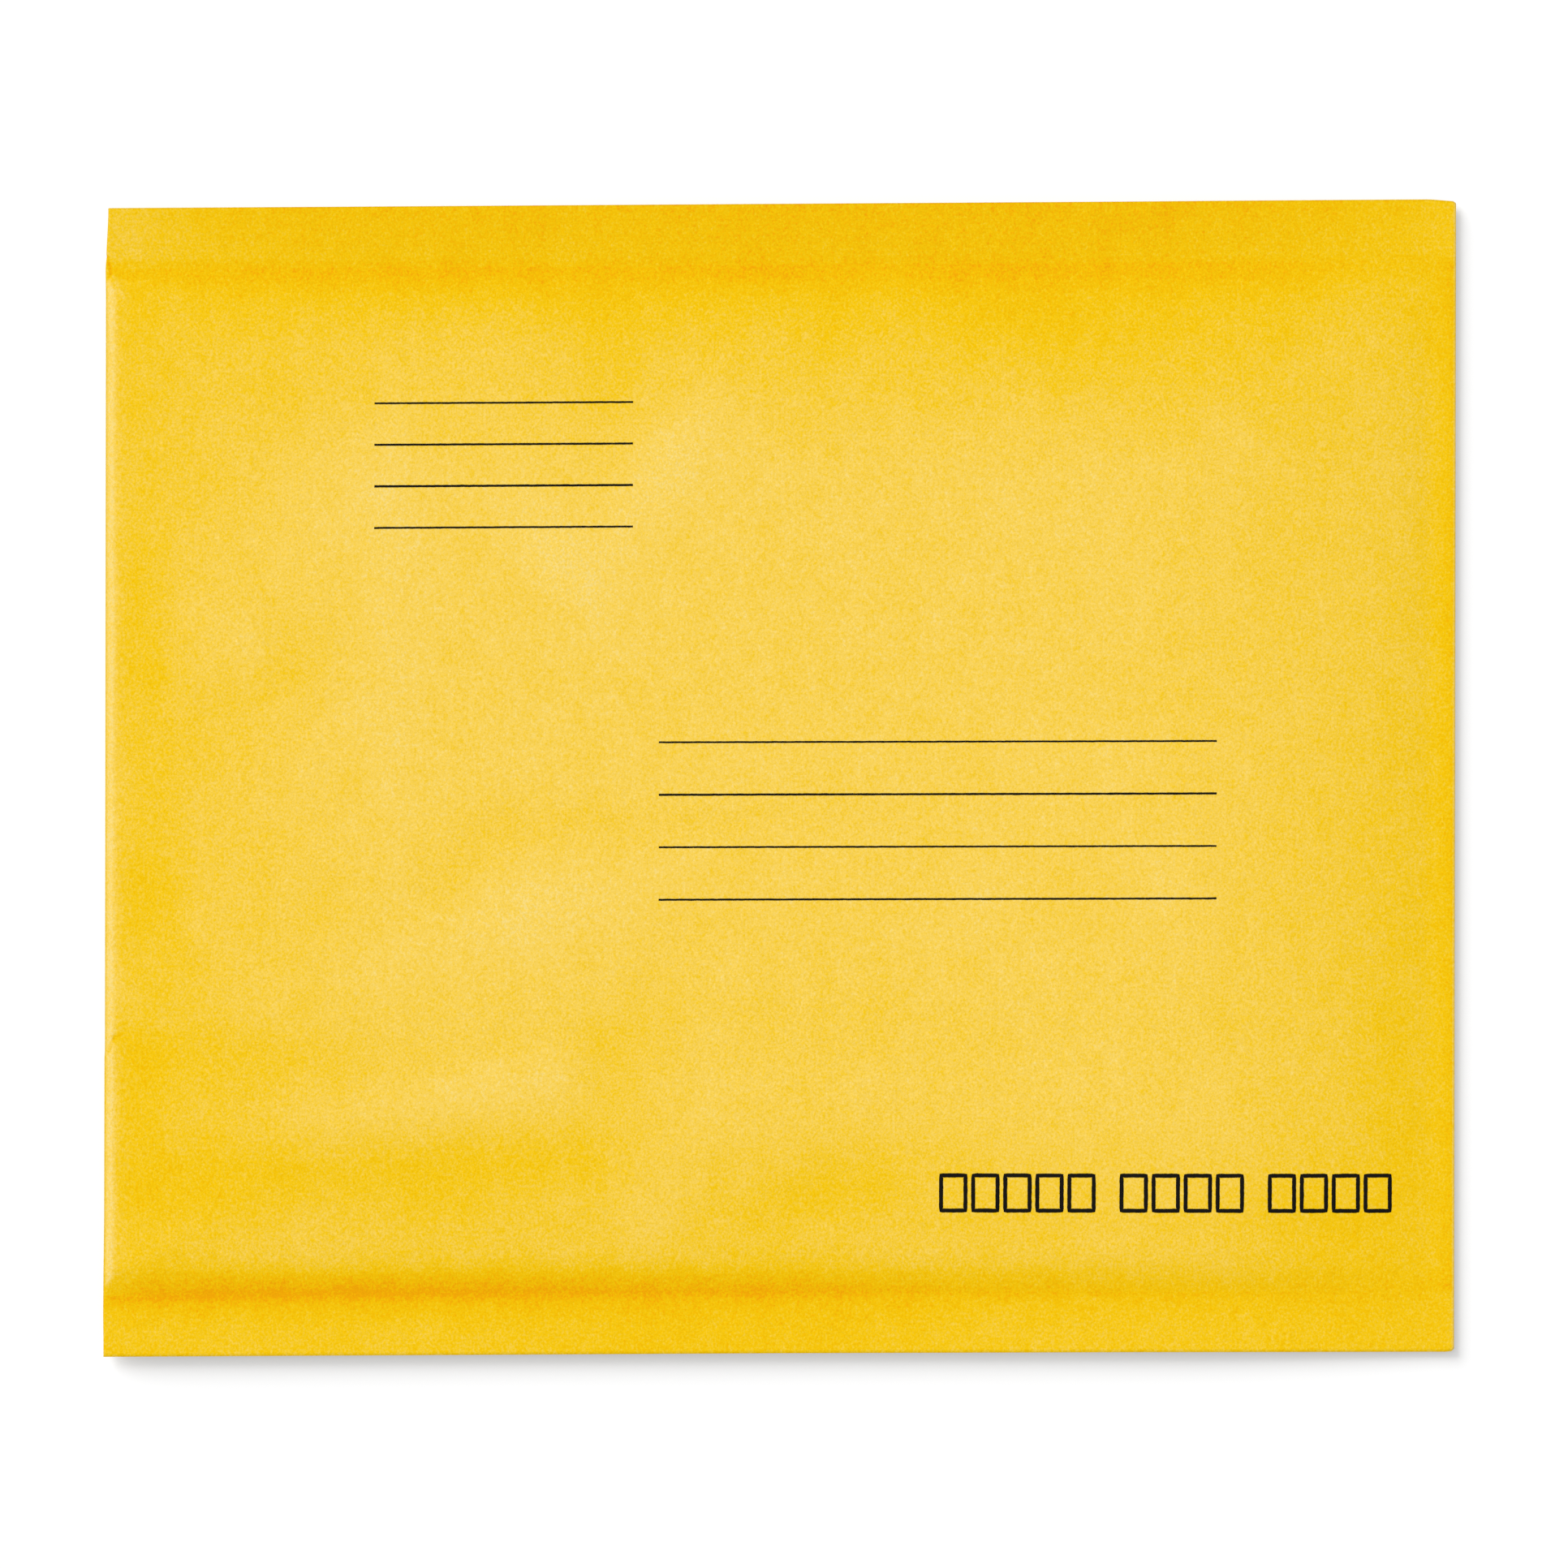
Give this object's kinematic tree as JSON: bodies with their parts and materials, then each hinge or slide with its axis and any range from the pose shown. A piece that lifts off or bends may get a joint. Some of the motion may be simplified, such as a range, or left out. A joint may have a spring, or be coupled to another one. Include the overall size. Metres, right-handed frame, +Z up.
{
  "type": "bubble mailer",
  "caption": "Flat padded mailer of kraft paper with a puffed pocket, pressed side seams, a rolled bottom fold and its flap folded over and stuck down on the back.",
  "frame": {"origin": "on the surface that the mailer lies on, under the middle of its outline", "axes": "+X from the bottom fold to the folded flap, +Y across the mailer from seam to seam, +Z up out of the address side"},
  "size_m": [0.282, 0.242, 0.0062],
  "materials": {
    "kraft_paper": "matt"
  },
  "bodies": {
    "root": {"mailer": "kraft_paper"}
  },
  "joints": []
}
